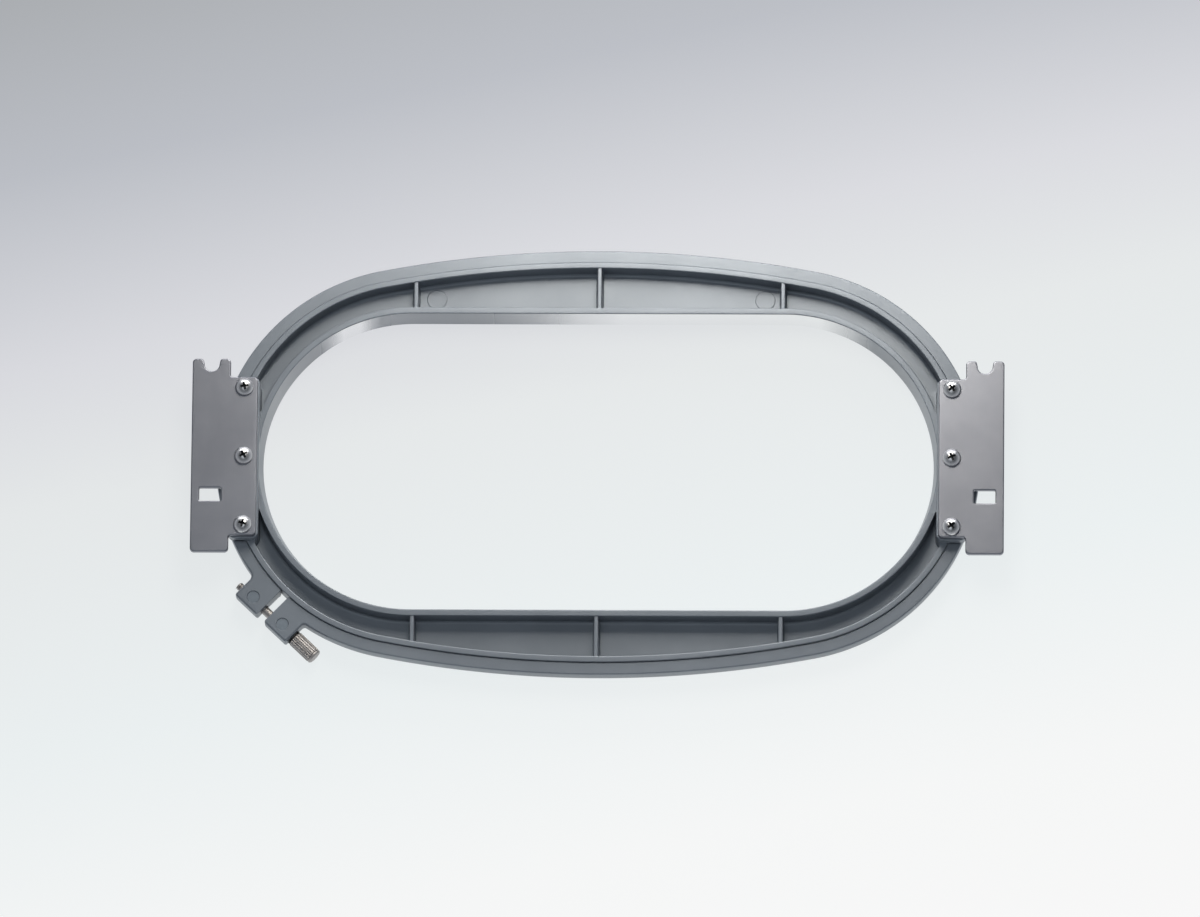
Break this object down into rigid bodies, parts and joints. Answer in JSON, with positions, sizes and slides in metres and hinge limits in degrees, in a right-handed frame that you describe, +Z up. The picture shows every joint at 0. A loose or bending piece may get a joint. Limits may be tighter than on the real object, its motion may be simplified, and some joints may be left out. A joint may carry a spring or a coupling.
{
  "type": "machine embroidery hoop",
  "caption": "Oblong machine embroidery hoop: a split outer ring with a thumbscrew clamp around an inner channel ring that carries slotted steel arms.",
  "frame": {"origin": "centre of the hoop in plan, at the plane that both rings lie on", "axes": "+X to the right arm, +Y to the notched ends of the arms, +Z up to the screw heads"},
  "size_m": [0.36, 0.1948, 0.0221],
  "materials": {
    "hoop_plastic": "moulded grey ABS, satin",
    "arm_steel": "stamped stainless steel, satin",
    "screw_steel": "polished stainless steel",
    "insert_brass": "turned brass",
    "knob_metal": "turned and knurled, nickel plated",
    "washer_nylon": "black nylon",
    "barrel_metal": "dull grey turned metal"
  },
  "bodies": {
    "outer_ring_body": {"outer_ring": "hoop_plastic", "barrel_nut": "barrel_metal", "pivot_barrel": "barrel_metal"},
    "inner_ring_body": {"inner_ring": "hoop_plastic", "left_arm": "arm_steel", "right_arm": "arm_steel", "left_arm_screw_top": "screw_steel", "left_arm_screw_middle": "screw_steel", "left_arm_screw_bottom": "screw_steel", "right_arm_screw_top": "screw_steel", "right_arm_screw_middle": "screw_steel", "right_arm_screw_bottom": "screw_steel", "left_insert_top": "insert_brass", "left_insert_middle": "insert_brass", "left_insert_bottom": "insert_brass", "right_insert_top": "insert_brass", "right_insert_middle": "insert_brass", "right_insert_bottom": "insert_brass"},
    "washer_body": {"thrust_washer": "washer_nylon"},
    "screw_body": {"tension_screw": "knob_metal"}
  },
  "joints": [
    {"name": "inner_ring_lift", "type": "slide", "parent": "outer_ring_body", "child": "inner_ring_body", "axis": [0, 0, 1], "range_m": [0, 0.03]},
    {"name": "screw_travel", "type": "slide", "parent": "outer_ring_body", "child": "washer_body", "axis": [0.7218, -0.6921, 0], "range_m": [0, 0.0042]},
    {"name": "screw_spin", "type": "hinge", "parent": "washer_body", "child": "screw_body", "pos_m": [-0.14535, -0.06857, 0.0053], "axis": [0.7218, -0.6921, 0], "range_deg": [0, 2165]}
  ],
  "couplings": [
    {"joint": "screw_spin", "follows": "screw_travel", "rad_per_m": 8976}
  ]
}
